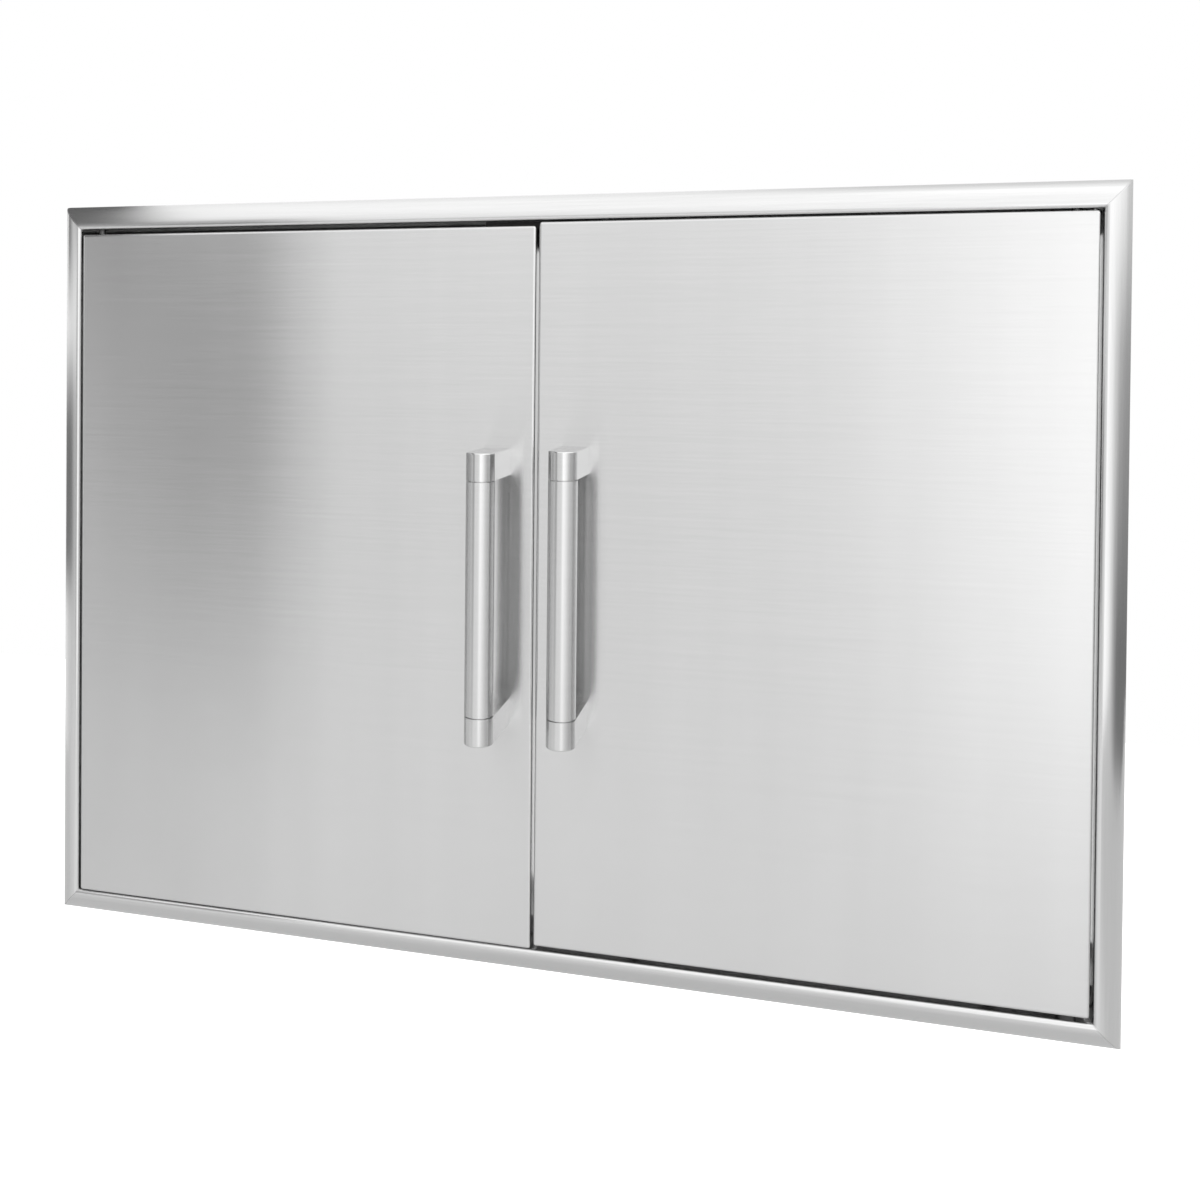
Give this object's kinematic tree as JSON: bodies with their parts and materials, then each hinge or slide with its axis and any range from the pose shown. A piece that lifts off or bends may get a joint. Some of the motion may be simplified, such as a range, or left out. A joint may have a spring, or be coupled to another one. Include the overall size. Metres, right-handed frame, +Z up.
{
  "type": "access door",
  "caption": "Built-in access door for an outdoor kitchen island: mitred bullnose frame, shallow open box and inset pivot-hung doors with vertical bar handles and a magnetic catch.",
  "frame": {"origin": "middle of the frame's opening, in the plane of the wall's face", "axes": "+Y into the wall, +Z up, +X to the right as seen by someone facing the doors"},
  "size_m": [0.775, 0.1557, 0.56],
  "materials": {
    "frame_steel": "formed stainless sheet, brushed along each moulding",
    "door_steel": "stainless sheet with a fine level brushed grain",
    "liner_steel": "plain mill-finish stainless sheet",
    "box_steel": "plain mill-finish stainless sheet",
    "handle_steel": "turned stainless bar, finely brushed round its girth",
    "pin_steel": "blackened steel pin",
    "bracket_steel": "plain steel",
    "fastener_steel": "bright stainless",
    "strike_steel": "zinc-plated steel, satin",
    "magnet_steel": "dark nickel-plated magnet with a satin face",
    "catch_plastic": "black moulded plastic, fine texture",
    "bush_plastic": "black nylon",
    "bumper_rubber": "black rubber"
  },
  "bodies": {
    "frame": {"box_bottom_panel": "box_steel", "box_left_panel": "box_steel", "box_right_panel": "box_steel", "box_top_panel": "box_steel", "catch_housing": "catch_plastic", "catch_screws": "fastener_steel", "frame_bottom_rail": "frame_steel", "frame_left_stile": "frame_steel", "frame_right_stile": "frame_steel", "frame_top_rail": "frame_steel", "hinge_plate_screws": "fastener_steel", "left_catch_magnet": "magnet_steel", "left_hinge_spacer": "bush_plastic", "left_lower_hinge_bush": "bush_plastic", "left_lower_hinge_plate": "bracket_steel", "left_upper_hinge_bush": "bush_plastic", "left_upper_hinge_plate": "bracket_steel", "left_upper_stop": "box_steel", "lower_stop": "box_steel", "right_catch_magnet": "magnet_steel", "right_hinge_spacer": "bush_plastic", "right_lower_hinge_bush": "bush_plastic", "right_lower_hinge_plate": "bracket_steel", "right_upper_hinge_bush": "bush_plastic", "right_upper_hinge_plate": "bracket_steel", "right_upper_stop": "box_steel", "stop_bumpers": "bumper_rubber"},
    "left_door": {"left_door_liner": "liner_steel", "left_door_skin": "door_steel", "left_handle_bar": "handle_steel", "left_handle_lower_mount": "handle_steel", "left_handle_screws": "fastener_steel", "left_handle_sleeves": "bracket_steel", "left_handle_upper_mount": "handle_steel", "left_handle_washers": "fastener_steel", "left_lower_hinge_block": "bracket_steel", "left_lower_hinge_pin": "pin_steel", "left_strike_plate": "strike_steel", "left_strike_rivets": "fastener_steel", "left_upper_hinge_block": "bracket_steel", "left_upper_hinge_pin": "pin_steel"},
    "right_door": {"right_door_liner": "liner_steel", "right_door_skin": "door_steel", "right_handle_bar": "handle_steel", "right_handle_lower_mount": "handle_steel", "right_handle_screws": "fastener_steel", "right_handle_sleeves": "bracket_steel", "right_handle_upper_mount": "handle_steel", "right_handle_washers": "fastener_steel", "right_lower_hinge_block": "bracket_steel", "right_lower_hinge_pin": "pin_steel", "right_strike_plate": "strike_steel", "right_strike_rivets": "fastener_steel", "right_upper_hinge_block": "bracket_steel", "right_upper_hinge_pin": "pin_steel"}
  },
  "joints": [
    {"name": "left_door_hinge", "type": "hinge", "parent": "frame", "child": "left_door", "pos_m": [-0.353, -0.0085, 0], "axis": [0, 0, -1], "range_deg": [0, 110]},
    {"name": "right_door_hinge", "type": "hinge", "parent": "frame", "child": "right_door", "pos_m": [0.353, -0.0085, 0], "axis": [0, 0, 1], "range_deg": [0, 110]}
  ]
}
